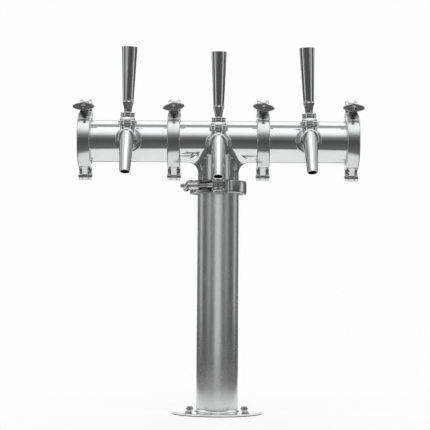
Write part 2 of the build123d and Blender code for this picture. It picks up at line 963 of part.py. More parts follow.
# ---------------------------------------------------------------- placing and writing
def clamp_places():
    """Each clamp's place: on the arms with its nut in front, and on the column with its ears in front."""
    places = {}
    for name, step in (("left_end", -1.5), ("left_inner", -0.5), ("right_inner", 0.5), ("right_end", 1.5)):
        places[name] = Location((step * section_pitch, 0, arm_axis_z))
    nut_side = (-cos(radians(column_clamp_turn)), sin(radians(column_clamp_turn)), 0)
    ears = Vector(0, 0, -1).cross(Vector(nut_side)) * -1
    places["column"] = Plane(origin=(0, 0, column_joint_z), x_dir=(0, 0, -1), z_dir=ears).location
    return places


def shank_place(side):
    return Location((faucet_x[side], 0, arm_axis_z - faucet_drop[side]))


def faucet_place(side):
    """A faucet's place, turned a little about its shank as its coupling nut left it."""
    return Location((faucet_x[side], 0, arm_axis_z - faucet_drop[side]), (0, faucet_roll[side], 0))


def write_node(name, *placed):
    """Gathers (piece, places) pairs into one node, labels it and writes its STEP file."""
    with BuildPart() as node:
        for piece, places in placed:
            with Locations(*places):
                add(piece)
    node.part.label = name
    export_step(node.part, f"parts/{name}.step")


def write_structure():
    origin = [Location()]
    with BuildPart():
        corners = list(PolarLocations(screw_circle_r, 4, start_angle=45, rotate=False))
    write_node("base_gasket", (make_base_gasket(), origin))
    write_node("base_plate", (make_base_plate(), origin))
    write_node("base_screws", (make_base_screw(), corners))
    write_node("base_washers", (make_base_washer(), corners))
    write_node("column_tube", (make_column(), origin))
    write_node("center_tee", (make_tee(faucet_drop["center"]), [Location((0, 0, arm_axis_z))]))
    cap = make_end_cap()
    reach = 1.5 * section_pitch + gasket_thick / 2
    for side, direction, turn in (("left", -1, 180), ("right", 1, 0)):
        arm_place = Location((direction * section_pitch, 0, arm_axis_z))
        write_node(f"{side}_arm_tube", (make_arm(faucet_drop[side]), [arm_place]))
        write_node(f"{side}_end_cap", (cap, [Location((direction * reach, 0, arm_axis_z), (0, turn, 0))]))


def write_clamps():
    front = make_front_half()
    rear = make_rear_half()
    bolt = make_swing_bolt()
    places = clamp_places()
    everywhere = list(places.values())
    hinge_pin = make_clamp_pin(0, hinge_z, band_half_width)
    bolt_pin = make_clamp_pin(bolt_pin_y, bolt_pin_z, band_half_width)
    write_node("joint_gaskets", (make_joint_gasket(), everywhere))
    write_node("clamp_pins", (hinge_pin, everywhere), (bolt_pin, everywhere))
    for name, place in places.items():
        write_node(f"{name}_clamp_rear_half", (rear, [place]))
        write_node(f"{name}_clamp_front_half", (front, [place]))
        write_node(f"{name}_swing_bolt", (bolt, [place]))
        write_node(f"{name}_wing_nut", (make_wing_nut(nut_turns[name]), [place]))


def write_faucets():
    shank_places = [shank_place(side) for side in faucet_x]
    faucet_places = [faucet_place(side) for side in faucet_x]
    write_node("shanks", (make_shank(), shank_places))
    write_node("shank_nuts", (make_shank_nut(), shank_places))
    write_node("tailpieces", (make_tailpiece(), shank_places))
    write_node("coupling_nuts", (make_coupling_nut(), faucet_places))
    write_node("ball_seals", (make_ball_seal(), faucet_places))
    write_node("seat_seals", (make_seat_seal(), faucet_places))
    flanges = []
    for side, drop in faucet_drop.items():
        flanges.append((make_shank_flange(drop, on_tee=side == "center"), [shank_place(side)]))
    write_node("shank_flanges", *flanges)
    pieces = {
        "faucet_body": make_body(),
        "bonnet": make_bonnet(),
        "lever": make_lever(),
        "lever_collar": make_lever_collar(),
        "valve_shaft": make_valve_shaft(),
    }
    for side in faucet_x:
        place = faucet_place(side)
        for name, piece in pieces.items():
            write_node(f"{side}_{name}", (piece, [place]))
        write_node(f"{side}_handle", (make_handle(handle_twist[side]), [place]))


def write_lines():
    origin = [Location()]
    write_node("beer_lines", *[(make_beer_line(side), origin) for side in faucet_x])
    write_node("coolant_line", (make_coolant_line(), origin))
    write_node("foam_fill", (make_foam(), origin))


os.makedirs("parts", exist_ok=True)
write_structure()
write_clamps()
write_faucets()
write_lines()
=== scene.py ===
"""Looks of the beer tap tower: polished tubes, cast clamps, chrome faucets, studio and camera.

Shapes are given in millimetres in the same local frames as the CAD: a clamp is drawn round the X axis
with its ears up and its nut towards -Y, and a faucet has its shank along Y and its spout towards -Y.
"""

import json
from math import atan2, cos, pi, radians, sin, tan

import bpy
import numpy as np
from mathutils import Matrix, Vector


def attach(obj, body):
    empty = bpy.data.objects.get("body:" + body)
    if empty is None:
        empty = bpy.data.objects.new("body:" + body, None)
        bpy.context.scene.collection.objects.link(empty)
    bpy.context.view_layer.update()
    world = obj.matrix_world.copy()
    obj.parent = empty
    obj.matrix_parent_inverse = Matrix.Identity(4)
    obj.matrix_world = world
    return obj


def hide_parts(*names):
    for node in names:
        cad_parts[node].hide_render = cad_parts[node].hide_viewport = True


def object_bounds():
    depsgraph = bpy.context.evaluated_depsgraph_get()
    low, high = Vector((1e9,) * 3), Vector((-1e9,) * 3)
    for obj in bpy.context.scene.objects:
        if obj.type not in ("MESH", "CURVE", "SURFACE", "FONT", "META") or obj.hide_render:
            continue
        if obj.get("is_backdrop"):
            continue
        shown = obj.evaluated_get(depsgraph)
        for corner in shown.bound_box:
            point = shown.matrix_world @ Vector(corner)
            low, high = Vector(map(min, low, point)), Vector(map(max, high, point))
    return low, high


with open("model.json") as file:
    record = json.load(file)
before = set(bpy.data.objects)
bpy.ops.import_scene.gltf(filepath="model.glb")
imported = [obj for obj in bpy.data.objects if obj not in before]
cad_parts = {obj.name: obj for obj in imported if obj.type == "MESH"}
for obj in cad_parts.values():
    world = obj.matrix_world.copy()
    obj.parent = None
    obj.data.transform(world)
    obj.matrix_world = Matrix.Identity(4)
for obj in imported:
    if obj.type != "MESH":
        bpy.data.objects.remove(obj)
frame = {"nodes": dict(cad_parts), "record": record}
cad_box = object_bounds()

import openvdb
from mathutils import Matrix, Vector

MM = 0.001

# ------------------------------------------------------------------ dimensions
# Lengths are in millimetres. NUT_TURNS, FAUCET_ROLL and HANDLE_TWIST are in degrees. A name that ends in
# _F or _FRONT is a distance in front of the arms' axis.
TUBE_R = 38.1
BORE_R = 36.45
FERRULE_R = 45.5
FERRULE_RIM = 2.8
FERRULE_FOOT_R = 40.0
FERRULE_DEPTH = 4.8
FERRULE_TAIL = 3.0
SLOPE = tan(radians(20))
GASKET = 2.0
PITCH = 163.0
HALF = (PITCH - GASKET) / 2
ARM_Z = 500.0
COLUMN_JOINT_Z = 415.0
PLATE_LOW = 1.5
PLATE_TOP = 4.7
PLATE_R = 84.0
BASE_HOLE_R = 35.0

BAND_R = 53.0
BAND_HALF = 11.5
LIP_R = 41.6
GROOVE_R = 45.8
GROOVE_HALF = GASKET / 2 + FERRULE_RIM + 0.15
HINGE_Z = -64.5
KNUCKLE_R = 7.5
MIDDLE_KNUCKLE_HALF = 5.3
PIN_R = 3.0
BOLT_PIN = (14.0, 67.5)
LUG_R = 12.0
EAR_HALF = 8.0
BOLT_SLOT_HALF = 5.3
BOLT_TILT = radians(9.5)
BOLT_R = 4.0
BOLT_LENGTH = 72.0
THREAD_START = 16.0
THREAD_PITCH = 1.6
NUT_START = 36.0
NUT_END = 60.5
NUT_HUB_R = 7.0
NUT_NOSE_R = 4.6
WING_START = 55.0
WING_HALF = (19.8, 7.2)
NUT_TURNS = {"left_end": 0, "left_inner": 7, "right_inner": -7, "right_end": 0, "column": 60}
COLUMN_CLAMP_TURN = radians(12.0)

FAUCET_X = {"left": -PITCH, "center": 0.0, "right": PITCH}
FAUCET_DROP = {"left": 2.0, "center": 10.0, "right": 2.0}
FAUCET_ROLL = {"left": 1.5, "center": 0.0, "right": -2.5}
HANDLE_TWIST = {"left": 7.5, "center": 1.0, "right": -4.0}
FLANGE_R = 24.5
FLANGE_FRONT = 45.0
SHANK_HOLE_R = 11.2
COUPLING_R = 17.5
COUPLING_FRONT = 60.5
LEVER_F = 77.0
PIVOT_Z = 28.0
LEAN = radians(4.0)
BARREL_R = 14.0
NOSE_F = 100.5
SPOUT_TILT = radians(18.0)
SPOUT_LENGTH = 68.0
DOME_R = 14.5
COLLAR_HOLLOW_R = 15.2
COLLAR_END = 16.4
HANDLE_LENGTH = 116.0
FLUTES = 8


# ------------------------------------------------------------------ distance fields
def smooth_min(a, b, k):
    """Smaller of two distances, with the join rounded over a width k."""
    h = np.maximum(k - np.abs(a - b), 0.0) / k
    return np.minimum(a, b) - h * h * k / 4


def smooth_max(a, b, k):
    return -smooth_min(-a, -b, k)


def corner(dx, dy, rounding):
    """Distance to a quarter-plane corner whose edge is rounded, from the distances to its two sides."""
    dx = dx + rounding
    dy = dy + rounding
    outside = np.hypot(np.maximum(dx, 0), np.maximum(dy, 0))
    return outside + np.minimum(np.maximum(dx, dy), 0) - rounding


def drum(along, radial, start, end, radius, rounding):
    """Capped cylinder between two places along its axis, with rounded rims."""
    middle, half = (start + end) / 2, (end - start) / 2
    return corner(np.abs(along - middle) - half, radial - radius, rounding)


def polygon(px, py, points):
    """Signed distance to a closed polygon."""
    nearest = np.full(px.shape, 1e9)
    inside = np.zeros(px.shape, bool)
    for (ax, ay), (bx, by) in zip(points, points[1:] + points[:1]):
        ex, ey = bx - ax, by - ay
        wx, wy = px - ax, py - ay
        t = np.clip((wx * ex + wy * ey) / (ex * ex + ey * ey), 0, 1)
        nearest = np.minimum(nearest, np.hypot(wx - t * ex, wy - t * ey))
        crosses = (ay > py) != (by > py)
        inside ^= crosses & (px < ex * (py - ay) / (ey if ey else 1e-9) + ax)
    return np.where(inside, -nearest, nearest)


def cone_segment(p, start, end, start_r, end_r):
    """Distance to a round tapered bar between two points, with flat ends."""
    start = np.array(start, float)
    axis = np.array(end, float) - start
    length = np.linalg.norm(axis)
    axis /= length
    along = (p - start) @ axis
    radial = np.linalg.norm(p - start - along[:, None] * axis, axis=1)
    radius = start_r + (end_r - start_r) * along / length
    return np.maximum(radial - radius, np.abs(along - length / 2) - length / 2)


def point_on_bolt(along, up):
    """A point (y, z) of the clamp, along the tilted swing bolt from its pin and up across it."""
    c, s = cos(BOLT_TILT), sin(BOLT_TILT)
    return (BOLT_PIN[0] - along * c - up * s, BOLT_PIN[1] - along * s + up * c)


def bolt_coordinates(p):
    """Along the swing bolt from its pin, and up across it, for points of the clamp."""
    c, s = cos(BOLT_TILT), sin(BOLT_TILT)
    dy, dz = p[:, 1] - BOLT_PIN[0], p[:, 2] - BOLT_PIN[1]
    return -dy * c - dz * s, -dy * s + dz * c


def ring_half(p, side):
    """Half of the clamp's band with its crowned outside; side is -1 in front and 1 behind."""
    x, r = np.abs(p[:, 0]), np.hypot(p[:, 1], p[:, 2])
    crown = 0.004 * x * x
    ring = corner(x - BAND_HALF, np.maximum(r + crown - BAND_R, LIP_R - r), 2.0)
    return smooth_max(ring, 1.0 - side * p[:, 1], 1.2)


def channel(p):
    """The space inside a clamp half for the ferrules and tubes."""
    x, r = np.abs(p[:, 0]), np.hypot(p[:, 1], p[:, 2])
    flare = GROOVE_HALF + (GROOVE_R - r) * SLOPE
    groove = np.maximum(r - GROOVE_R, (x - flare) * cos(radians(20)))
    return np.minimum(groove, r - LIP_R)


def ear_width(p):
    """Half width of the front ear, which narrows from the band up to its fork."""
    return np.interp(p[:, 2], [38.0, 44.0, 51.0], [BAND_HALF - 0.6, 9.6, EAR_HALF])


def hinge_web(side):
    """Outline of the web from a hinge knuckle up into the band; side is -1 in front and 1 behind."""
    top = -48.5
    return [
        (side * KNUCKLE_R * 0.98, HINGE_Z),
        (side * 17.0, top),
        (side * 1.0, top),
        (side * 1.0, HINGE_Z + KNUCKLE_R),
        (0, HINGE_Z + KNUCKLE_R * 0.9),
        (0, HINGE_Z),
    ]


def front_half_field(p):
    """Front half of the band, with its hinge knuckle and the forked ear that seats the nut."""
    x = np.abs(p[:, 0])
    bevel = NUT_START - NUT_NOSE_R - 0.16
    hub_floor = -NUT_HUB_R - 0.6
    hollow_y, hollow_z, hollow_r = -51.3, 52.2, 19.8
    turns = np.linspace(0.03, pi / 4 + 0.08, 9)
    arc = [(hollow_y + hollow_r * cos(t), hollow_z - hollow_r * sin(t)) for t in turns]
    ear = polygon(p[:, 1], p[:, 2], [
        (-5.5, 47.5), point_on_bolt(19.6, 0.5), point_on_bolt(bevel - 0.5, 0.5),
        point_on_bolt(bevel - hub_floor, hub_floor), point_on_bolt(47.4, hub_floor), *arc, (-30.0, 36.0),
    ])
    ear = smooth_max(ear, x - ear_width(p), 2.0)
    body = smooth_min(ring_half(p, -1), ear, 2.0)
    along, up = bolt_coordinates(p)
    slot_start = 14.0
    slot = np.maximum.reduce([x - BOLT_R - 0.4, slot_start - along, -up - BOLT_R - 0.6])
    body = smooth_max(body, -slot, 1.2)
    body = smooth_max(body, -channel(p), 0.9)
    to_pin = np.hypot(p[:, 1], p[:, 2] - HINGE_Z)
    web = np.maximum(polygon(p[:, 1], p[:, 2], hinge_web(-1)), x - MIDDLE_KNUCKLE_HALF)
    knuckle = drum(x, to_pin, -MIDDLE_KNUCKLE_HALF, MIDDLE_KNUCKLE_HALF, KNUCKLE_R, 0.8)
    knuckle = smooth_min(knuckle, web, 2.0)
    return np.maximum(smooth_min(body, knuckle, 2.0), PIN_R + 0.05 - to_pin)


def rear_half_field(p):
    """Rear half of the band, with two hinge knuckles and the two prongs that carry the swing bolt."""
    x = np.abs(p[:, 0])
    pin_y, pin_z = BOLT_PIN
    prongs = polygon(p[:, 1], p[:, 2], [
        (5.5, 47.0), (5.5, 61.5), (pin_y - LUG_R, pin_z), (pin_y + LUG_R, pin_z), (28.6, 44.0),
    ])
    to_bolt_pin = np.hypot(p[:, 1] - pin_y, p[:, 2] - pin_z)
    prongs = smooth_min(prongs, to_bolt_pin - LUG_R, 1.0)
    prongs = smooth_max(prongs, x - BAND_HALF + 0.3, 2.4)
    body = smooth_min(ring_half(p, 1), prongs, 4.0)
    slot_depth = 9.0
    slot = np.maximum(x - BOLT_SLOT_HALF, pin_z - slot_depth - p[:, 2])
    body = smooth_max(body, -slot, 1.2)
    body = smooth_max(body, -channel(p), 0.9)
    to_pin = np.hypot(p[:, 1], p[:, 2] - HINGE_Z)
    inner = MIDDLE_KNUCKLE_HALF + 0.3
    web = np.maximum.reduce([polygon(p[:, 1], p[:, 2], hinge_web(1)), x - BAND_HALF, inner - x])
    knuckle = smooth_min(drum(x, to_pin, inner, BAND_HALF, KNUCKLE_R, 0.8), web, 2.0)
    body = smooth_min(body, knuckle, 2.0)
    return np.maximum.reduce([body, PIN_R + 0.05 - to_pin, PIN_R + 0.05 - to_bolt_pin])


def wing_nut_field(p):
    """The nut in its own frame: bolt axis along +Z from the pin, wing along X."""
    radial = np.hypot(p[:, 0], p[:, 1])
    z = p[:, 2]
    hub = drum(z, radial, NUT_START, NUT_END, NUT_HUB_R, 0.8)
    nose = (radial - (z - NUT_START) - NUT_NOSE_R) * cos(pi / 4)
    hub = smooth_max(hub, nose, 0.8)
    a, b = WING_HALF
    squashed = np.hypot(p[:, 0] / a, p[:, 1] / b)
    slope = np.hypot(p[:, 0] / a**2, p[:, 1] / b**2) + 1e-6
    oval = squashed * (squashed - 1) / slope
    wing = drum(z, oval, WING_START, NUT_END, radius=0, rounding=1.6)
    nut = smooth_min(hub, wing, 3.0)
    nut = np.maximum(nut, z - NUT_END)
    return smooth_max(nut, BOLT_R + 0.08 - radial, 0.5)


def tee_field(p):
    """Run and branch with a broad rounded crotch, and one bore inside; the run's axis is X.

    The rounding fades out at the sides, where the two tubes already meet smoothly.
    """
    run = np.hypot(p[:, 1], p[:, 2])
    branch = np.hypot(p[:, 0], p[:, 1])
    low = COLUMN_JOINT_Z + GASKET / 2 + FERRULE_DEPTH - ARM_Z
    end = np.abs(p[:, 0]) - (HALF - FERRULE_DEPTH)
    upper = p[:, 2]
    crotch = np.maximum(1 - (p[:, 1] / TUBE_R) ** 2, 0.02)
    outer = smooth_min(run - TUBE_R, np.maximum(branch - TUBE_R, upper), 22.0 * crotch)
    inner = smooth_min(run - BORE_R, np.maximum(branch - BORE_R, upper), 18.0 * crotch)
    shell = np.maximum(outer, -inner)
    shell = np.maximum.reduce([shell, end, low - p[:, 2]])
    hole = np.hypot(p[:, 0], p[:, 2] + FAUCET_DROP["center"]) - SHANK_HOLE_R
    return np.maximum(shell, -np.maximum(hole, p[:, 1]))


def flange_field(drop):
    """Field of a round flange saddled on an arm, whose shank runs this far below the arm's axis."""
    flat_r, groove_r, groove_size, back_f = 20.0, 20.4, 1.7, 24.0

    def field(p):
        f = -p[:, 1]
        radial = np.hypot(p[:, 0], p[:, 2])
        front = FLANGE_FRONT - 0.05 * np.maximum(radial - flat_r, 0) ** 2
        plate = corner(f - front, radial - FLANGE_R, 1.8)
        groove = np.hypot(radial - groove_r, f - FLANGE_FRONT - 0.5) - groove_size
        plate = smooth_max(plate, -groove, 0.5)
        tube = np.hypot(p[:, 1], p[:, 2] - drop) - TUBE_R - 0.03
        back = np.maximum(-tube, back_f - f)
        return smooth_max(np.maximum(plate, back), SHANK_HOLE_R - radial, 0.5)
    return field


def coupling_field(p):
    """Round nut with a hollow front shoulder and wrench holes round its rim."""
    f = -p[:, 1]
    radial = np.hypot(p[:, 0], p[:, 2])
    nut = drum(f, radial, FLANGE_FRONT + 0.6, COUPLING_FRONT, COUPLING_R, 1.5)
    shoulder = np.hypot(f - COUPLING_FRONT, radial - COUPLING_R) - 3.0
    nut = smooth_max(nut, -shoulder, 0.8)
    holes, hole_f, hole_r, hole_floor_r = 5, 53.0, 2.4, 12.6
    step = 2 * pi / holes
    folded = np.arctan2(p[:, 0], p[:, 2]) % step - step / 2
    hole = np.hypot(radial * np.sin(folded), f - hole_f) - hole_r
    hole = np.maximum(hole, hole_floor_r - radial)
    nut = smooth_max(nut, -hole, 0.5)
    collar_front, collar_bore_r, neck_bore_r = 54.0, 15.0, 12.3
    return np.maximum(nut, np.where(f < collar_front, collar_bore_r, neck_bore_r) - radial)


def spout_point(along):
    """A point on the spout's axis, along it from where it crosses the barrel."""
    return (0, -(LEVER_F + 13.0) - along * sin(SPOUT_TILT), 0.5 - along * cos(SPOUT_TILT))


def body_field(p):
    """Collar, neck, barrel with a flat nose, lever boss and tapered spout."""
    f = -p[:, 1]
    radial = np.hypot(p[:, 0], p[:, 2])
    collar = drum(f, radial, start=48.5, end=52.6, radius=14.6, rounding=0.5)
    neck = drum(f, radial, start=50.0, end=66.0, radius=12.0, rounding=0.3)
    barrel = drum(f, radial, start=61.5, end=NOSE_F, radius=BARREL_R, rounding=2.4)
    boss_radial = np.hypot(p[:, 0], p[:, 1] + LEVER_F)
    boss = drum(p[:, 2], boss_radial, start=0, end=PIVOT_Z - 8, radius=13.6, rounding=0.6)
    thread = drum(p[:, 2], boss_radial, start=0, end=PIVOT_Z + 1, radius=12.4, rounding=0.4)
    spout = cone_segment(p, spout_point(-5), spout_point(SPOUT_LENGTH), start_r=13.6, end_r=9.7)
    solid = smooth_min(smooth_min(collar, neck, 1.0), barrel, 1.5)
    solid = smooth_min(solid, np.minimum(boss, thread), 2.5)
    solid = smooth_min(solid, spout, 1.0)
    bore = cone_segment(p, spout_point(4), spout_point(SPOUT_LENGTH + 4), start_r=8.6, end_r=7.9)
    solid = smooth_max(solid, -bore, 0.8)
    inlet_r, inlet_end = 9.6, 88.0
    inlet = np.maximum(radial - inlet_r, f - inlet_end)
    socket_r, socket_floor = 9.3, 6.0
    socket = np.maximum(boss_radial - socket_r, socket_floor - p[:, 2])
    slot_half, slot_start, slot_middle, slot_reach = 3.3, 65.0, 11.75, 3.75
    slot_height = np.abs(p[:, 2] - slot_middle) - slot_reach
    slot = np.maximum.reduce([np.abs(p[:, 0]) - slot_half, f - LEVER_F, slot_start - f, slot_height])
    return np.maximum.reduce([solid, -inlet, -socket, -slot])


def handle_field(p):
    """Flared round bar in its own frame, Z up from its base, with long round-ended flutes."""
    z = p[:, 2]
    radial = np.hypot(p[:, 0], p[:, 1])
    angle = np.arctan2(p[:, 0], p[:, 1])
    step = 2 * pi / FLUTES
    folded = (angle + step / 2) % step - step / 2
    reach = np.interp(z, [0.0, 6.0, 12.5, 18.0, HANDLE_LENGTH], [6.9, 7.2, 8.6, 10.3, 14.7])
    bar = drum(z, radial, 0, HANDLE_LENGTH, reach, 1.3)
    flute_start, cutter_r = 23.0, 12.0
    cutter_out = np.interp(z, [flute_start, HANDLE_LENGTH + 2], [21.0, 24.6])
    off_axis = radial * np.cos(folded) - cutter_out
    below = np.minimum(z - flute_start, 0)
    flute = np.sqrt(off_axis**2 + (radial * np.sin(folded)) ** 2 + below**2) - cutter_r
    return smooth_max(bar, -flute, 0.5)


def eye_field(p):
    """Eye of the swing bolt and the plain start of its shank."""
    x = np.abs(p[:, 0])
    to_pin = np.hypot(p[:, 1] - BOLT_PIN[0], p[:, 2] - BOLT_PIN[1])
    eye = drum(x, to_pin, start=-5.0, end=5.0, radius=8.2, rounding=1.2)
    along, up = bolt_coordinates(p)
    shank_end = THREAD_START + 1.0
    shank = np.maximum.reduce([np.hypot(p[:, 0], up) - BOLT_R, -along, along - shank_end])
    return np.maximum(smooth_min(eye, shank, 2.0), PIN_R + 0.05 - to_pin)


# ------------------------------------------------------------------ meshes
def make_mesh(name, points, faces, normals):
    """A smooth mesh in metres from points in millimetres and their exact normals."""
    mesh = bpy.data.meshes.new(name)
    mesh.from_pydata((np.asarray(points) * MM).tolist(), [], [tuple(int(i) for i in f) for f in faces])
    mesh.validate()
    mesh.shade_smooth()
    if len(mesh.vertices) == len(normals):
        mesh.normals_split_custom_set_from_vertices([tuple(n) for n in normals])
    return mesh


def gradient(field, points):
    """Slope of a field at some points, by central differences."""
    step = 0.02
    out = np.empty_like(points)
    for axis in range(3):
        offset = np.zeros(3)
        offset[axis] = step
        out[:, axis] = (field(points + offset) - field(points - offset)) / (2 * step)
    return out


def field_geometry(field, low, high, cell):
    """Quads on the zero surface of a distance field, with exact positions and normals."""
    low = np.array(low, float)
    counts = np.ceil((np.array(high, float) - low) / cell).astype(int) + 1
    index = np.indices(counts).reshape(3, -1).T
    values = np.empty(len(index))
    chunk = 400000
    for start in range(0, len(index), chunk):
        values[start:start + chunk] = field(low + index[start:start + chunk] * cell)
    grid = openvdb.FloatGrid(background=10.0)
    grid.copyFromArray(values.reshape(counts).astype(np.float32))
    points, quads = grid.convertToQuads(isovalue=0.0)
    points = low + points.astype(float) * cell
    corrections, longest = 4, cell * 0.6
    for _ in range(corrections):
        slope = gradient(field, points)
        size = np.maximum((slope**2).sum(1), 0.05)
        step = (field(points) / size)[:, None] * slope
        points -= np.clip(step, -longest, longest)
    normals = gradient(field, points)
    normals /= np.maximum(np.linalg.norm(normals, axis=1), 1e-6)[:, None]
    a, b, c = (points[quads[:, k]] for k in range(3))
    facing = (np.cross(b - a, c - a) * normals[quads[:, 0]]).sum(1)
    if np.median(facing) < 0:
        quads = quads[:, ::-1]
    return points, quads, normals


def rounded(outline, radius, closed):
    """Rows (along, radius, n_along, n_radius) of an outline with rounded corners; its left is outside."""
    steps = 5
    outline = [np.array(q, float) for q in outline]
    count = len(outline)
    rows = []
    for i, here in enumerate(outline):
        if not closed and i in (0, count - 1):
            other = outline[1] - here if i == 0 else here - outline[-2]
            t = other / np.linalg.norm(other)
            rows.append((*here, -t[1], t[0]))
            continue
        before, after = here - outline[i - 1], outline[(i + 1) % count] - here
        lb, la = np.linalg.norm(before), np.linalg.norm(after)
        tb, ta = before / lb, after / la
        turn = atan2(tb[0] * ta[1] - tb[1] * ta[0], tb @ ta)
        if abs(turn) < 1e-3:
            rows.append((*here, -tb[1], tb[0]))
            continue
        cut = min(radius * tan(abs(turn) / 2), lb * 0.45, la * 0.45)
        arc_r = cut / tan(abs(turn) / 2)
        left = np.array([-tb[1], tb[0]])
        centre = here - tb * cut + left * arc_r * np.sign(turn)
        for k in range(steps + 1):
            a = turn * k / steps
            normal = np.array([cos(a) * left[0] - sin(a) * left[1], sin(a) * left[0] + cos(a) * left[1]])
            rows.append((*(centre - normal * arc_r * np.sign(turn)), *normal))
    return np.array(rows)


def ring_faces(first, second, segments):
    """Quads between two rings of points."""
    a, b = first * segments, second * segments
    return [(a + k, a + (k + 1) % segments, b + (k + 1) % segments, b + k) for k in range(segments)]


def cap_faces(rings, segments):
    """One flat face over the first ring and one over the last."""
    last = (rings - 1) * segments
    return [tuple(reversed(range(segments))), tuple(last + k for k in range(segments))]


def lathe_geometry(outline, radius=0.5, closed=True, segments=160, axis="X", ripple=None):
    """Revolves a rounded outline of (along, radius) points, drawn clockwise, about an axis.

    An open outline starts and ends on the axis. A ripple adds to the outward facing radius by angle.
    """
    rows = rounded(outline, radius, closed)
    if not closed:
        rows = rows[1:-1]
    turn = np.arange(segments) * 2 * pi / segments
    along = np.repeat(rows[:, 0], segments)
    reach = np.repeat(rows[:, 1], segments)
    angle = np.tile(turn, len(rows))
    n_along, n_reach = np.repeat(rows[:, 2], segments), np.repeat(rows[:, 3], segments)
    if ripple is not None:
        reach = reach + ripple(angle) * np.maximum(n_reach, 0)
    c, s = np.cos(angle), np.sin(angle)
    order = {"X": (0, 1, 2), "Y": (1, 2, 0), "Z": (2, 0, 1)}[axis]
    points = np.empty((len(angle), 3))
    normals = np.empty((len(angle), 3))
    columns = ((along, n_along), (reach * c, n_reach * c), (reach * s, n_reach * s))
    for column, (place, normal) in zip(order, columns):
        points[:, column] = place
        normals[:, column] = normal
    faces = []
    for i in range(len(rows) if closed else len(rows) - 1):
        faces += ring_faces(i, (i + 1) % len(rows), segments)
    if not closed:
        faces += cap_faces(len(rows), segments)
    return points, faces, normals


def thread_geometry(radius, start, length, pitch):
    """A rod along +Z whose surface carries a helical thread that fades out at both ends."""
    segments, rings_in_pitch = 36, 8
    depth = pitch * 0.42
    chamfer, chamfer_length = 0.6, 0.8
    flank_slope = 0.7
    rings = int(length / (pitch / rings_in_pitch)) + 1
    z = np.repeat(np.linspace(0, length, rings), segments)
    angle = np.tile(np.arange(segments) * 2 * pi / segments, rings)
    phase = (z / pitch - angle / (2 * pi)) % 1.0
    ridge = 1 - np.abs(phase - 0.5) * 2
    fade = np.clip(np.minimum(z, length - z) / pitch, 0, 1)
    tip = chamfer * (1 - np.clip((length - z) / chamfer_length, 0, 1))
    reach = radius - depth * ridge * fade - tip
    points = np.stack([reach * np.cos(angle), reach * np.sin(angle), z + start], 1)
    slant = np.where(phase < 0.5, 1.0, -1.0) * fade * flank_slope
    normals = np.stack([np.cos(angle), np.sin(angle), slant], 1)
    normals /= np.linalg.norm(normals, axis=1)[:, None]
    faces = []
    for i in range(rings - 1):
        faces += ring_faces(i, i + 1, segments)
    faces += cap_faces(rings, segments)
    return points, faces, normals


def moved(geometry, matrix):
    """Geometry turned and shifted by a 4x4 matrix in millimetres."""
    points, faces, normals = geometry
    m = np.array(matrix)
    return points @ m[:3, :3].T + m[:3, 3], faces, normals @ m[:3, :3].T


def joined(*geometries):
    """Several closed shapes as one."""
    points, faces, normals, count = [], [], [], 0
    for p, f, n in geometries:
        points.append(p)
        normals.append(n)
        faces += [tuple(int(i) + count for i in face) for face in f]
        count += len(p)
    return np.concatenate(points), faces, np.concatenate(normals)


def shift(x=0.0, y=0.0, z=0.0):
    return Matrix.Translation((x, y, z))


def metres(matrix):
    """The same matrix with its translation in metres."""
    out = matrix.copy()
    out.translation = matrix.translation * MM
    return out


# ------------------------------------------------------------------ materials
class Graph:
    """Short forms for building a node tree."""

    def __init__(self, tree):
        self.tree = tree
        tree.nodes.clear()

    def node(self, kind, **settings):
        node = self.tree.nodes.new(kind)
        for key, value in settings.items():
            setattr(node, key, value)
        return node

    def link(self, source, target):
        self.tree.links.new(source, target)

    def feed(self, socket, value):
        """Links a socket or sets a value; None leaves the socket as it is."""
        if isinstance(value, bpy.types.NodeSocket):
            self.link(value, socket)
        elif value is not None:
            socket.default_value = value

    def separate(self, vector):
        node = self.node("ShaderNodeSeparateXYZ")
        self.link(vector, node.inputs[0])
        return node.outputs

    def math(self, operation, a, b=None, c=None, clamp=False):
        node = self.node("ShaderNodeMath", operation=operation, use_clamp=clamp)
        for socket, value in zip(node.inputs, (a, b, c)):
            self.feed(socket, value)
        return node.outputs[0]

    def ramp(self, value, stops):
        node = self.node("ShaderNodeValToRGB")
        elements = node.color_ramp.elements
        while len(elements) < len(stops):
            elements.new(0.5)
        for element, (place, tone) in zip(elements, stops):
            element.position = place
            element.color = (tone, tone, tone, 1.0)
        self.feed(node.inputs[0], value)
        return node.outputs[0]

    def mix(self, factor, a, b):
        node = self.node("ShaderNodeMix", data_type="RGBA")
        self.feed(node.inputs[0], factor)
        for socket, value in ((node.inputs[6], a), (node.inputs[7], b)):
            self.feed(socket, (*value, 1.0) if isinstance(value, tuple) else value)
        return node.outputs[2]

    def noise(self, vector, scale, detail=3.0, roughness=0.5, distortion=0.0):
        node = self.node("ShaderNodeTexNoise")
        self.feed(node.inputs["Vector"], vector)
        node.inputs["Scale"].default_value = scale
        node.inputs["Detail"].default_value = detail
        node.inputs["Roughness"].default_value = roughness
        node.inputs["Distortion"].default_value = distortion
        return node.outputs["Fac"]

    def stretched(self, factors=(1, 1, 1)):
        """Object coordinates scaled differently along each axis."""
        coordinates = self.node("ShaderNodeTexCoord").outputs["Object"]
        mapping = self.node("ShaderNodeMapping")
        self.link(coordinates, mapping.inputs["Vector"])
        mapping.inputs["Scale"].default_value = factors
        return mapping.outputs["Vector"]

    def bump(self, height, strength, distance, normal=None):
        node = self.node("ShaderNodeBump")
        node.inputs["Strength"].default_value = strength
        node.inputs["Distance"].default_value = distance
        self.feed(node.inputs["Height"], height)
        self.feed(node.inputs["Normal"], normal)
        return node.outputs["Normal"]


materials = {}


